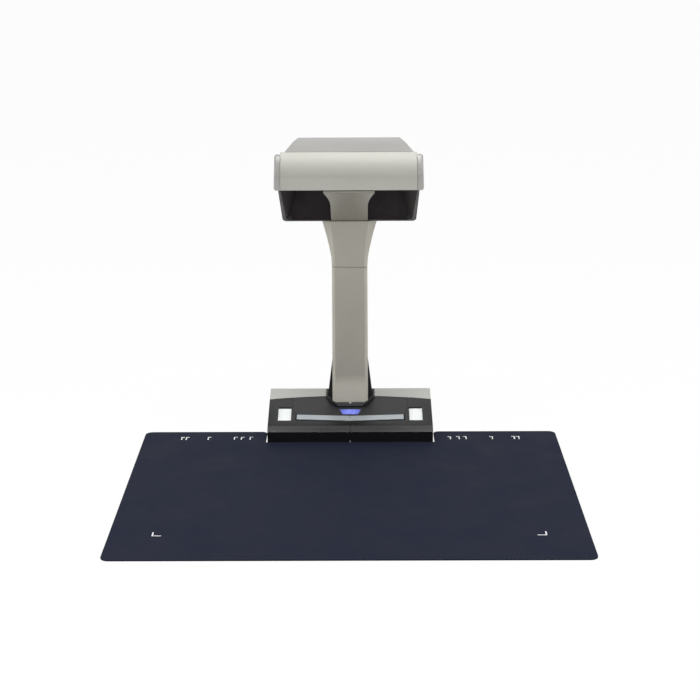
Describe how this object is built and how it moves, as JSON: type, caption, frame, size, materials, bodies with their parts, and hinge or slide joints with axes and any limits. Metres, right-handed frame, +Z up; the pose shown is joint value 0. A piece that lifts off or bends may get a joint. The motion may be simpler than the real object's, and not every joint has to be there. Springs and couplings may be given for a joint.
{
  "type": "book scanner",
  "caption": "Overhead book scanner: wedge base with scan bar and stop key, upright arm, hooded head with a sweeping optical drum, and a loose dark page mat.",
  "frame": {"origin": "middle of the whole object's outline in plan, at the level of the table", "axes": "+X to the right as seen from the front, +Y from the front to the rear, +Z up; the scanner faces -Y"},
  "size_m": [0.527, 0.46, 0.383],
  "materials": {
    "mat": "matt woven-backed mat, dark navy",
    "black_plastic": "fine-grained black",
    "gloss_black": "dark satin gloss",
    "drum_black": "matt black",
    "silver_plastic": "warm silver paint",
    "grey_plastic": "pale grey, fine-grained",
    "button_silver": "silver, satin",
    "key_black": "black, satin",
    "light_guide": "translucent blue",
    "lamp": "white diffuser",
    "reference_white": "matt white",
    "circuit_board": "green solder mask",
    "component": "black moulding",
    "port_shell": "plated shell",
    "ballast_steel": "plain steel plate",
    "frame_steel": "zinc-plated sheet",
    "screw_steel": "zinc-plated",
    "bronze": "sintered bronze",
    "gear_plastic": "white acetal",
    "lens": "coated lens",
    "cable": "black sleeve",
    "foot_rubber": "matt rubber"
  },
  "bodies": {
    "base": {"base_floor": "black_plastic", "ballast_plate": "ballast_steel", "front_cover_left": "black_plastic", "front_cover_right": "black_plastic", "control_panel": "black_plastic", "rear_cover": "silver_plastic", "arm_collar": "black_plastic", "power_light": "light_guide", "power_led": "lamp", "white_reference_left": "reference_white", "white_reference_right": "reference_white", "panel_board": "circuit_board", "scan_switch_left": "component", "scan_switch_right": "component", "stop_switch": "component", "main_board": "circuit_board", "dc_inlet": "component", "usb_port": "port_shell", "arm_frame": "frame_steel", "arm_front_cover": "silver_plastic", "neck_cover": "silver_plastic", "arm_rear_cover": "gloss_black", "neck_saddle": "silver_plastic", "harness": "cable", "head_frame": "frame_steel", "head_housing": "gloss_black", "head_top_cover": "grey_plastic", "visor": "silver_plastic", "side_cap_left": "grey_plastic", "side_cap_right": "grey_plastic", "bush_left": "bronze", "bush_right": "bronze", "scan_motor": "frame_steel", "head_board": "circuit_board", "frame_screw_left": "screw_steel", "frame_screw_right": "screw_steel", "foot_front_left": "foot_rubber", "floor_screw_front_left": "screw_steel", "foot_front_right": "foot_rubber", "floor_screw_front_right": "screw_steel", "foot_rear_left": "foot_rubber", "floor_screw_rear_left": "screw_steel", "foot_rear_right": "foot_rubber", "floor_screw_rear_right": "screw_steel"},
    "drum": {"scan_drum": "drum_black", "drum_end_left": "component", "drum_end_right": "component", "lens_barrel": "component", "lens_glass": "lens", "lamp_bar_left": "lamp", "lamp_bar_right": "lamp", "sensor_board": "circuit_board", "drum_gear": "gear_plastic"},
    "pinion": {"motor_pinion": "bronze"},
    "scan_button": {"scan_button": "button_silver"},
    "stop_button": {"stop_button": "key_black"},
    "mat": {"scan_mat": "mat"}
  },
  "joints": [
    {"name": "drum_sweep", "type": "hinge", "parent": "base", "child": "drum", "pos_m": [0, 0.1002, 0.357], "axis": [-1, 0, 0], "range_deg": [0, 49]},
    {"name": "pinion_spin", "type": "hinge", "parent": "base", "child": "pinion", "pos_m": [0, 0.11984, 0.36415], "axis": [-1, 0, 0], "range_deg": [-165, 0]},
    {"name": "scan_press", "type": "slide", "parent": "base", "child": "scan_button", "axis": [0, 0.23, -0.9732], "range_m": [0, 0.0008], "stiffness_N_per_m": 900, "springref_m": -0.0008},
    {"name": "stop_press", "type": "slide", "parent": "base", "child": "stop_button", "axis": [0, 0.23, -0.9732], "range_m": [0, 0.0008], "stiffness_N_per_m": 700, "springref_m": -0.0008},
    {"name": "mat_pull", "type": "slide", "parent": "base", "child": "mat", "axis": [0, -1, 0], "range_m": [0, 0.06]}
  ],
  "couplings": [
    {"joint": "pinion_spin", "follows": "drum_sweep", "ratio": -3.3333}
  ]
}
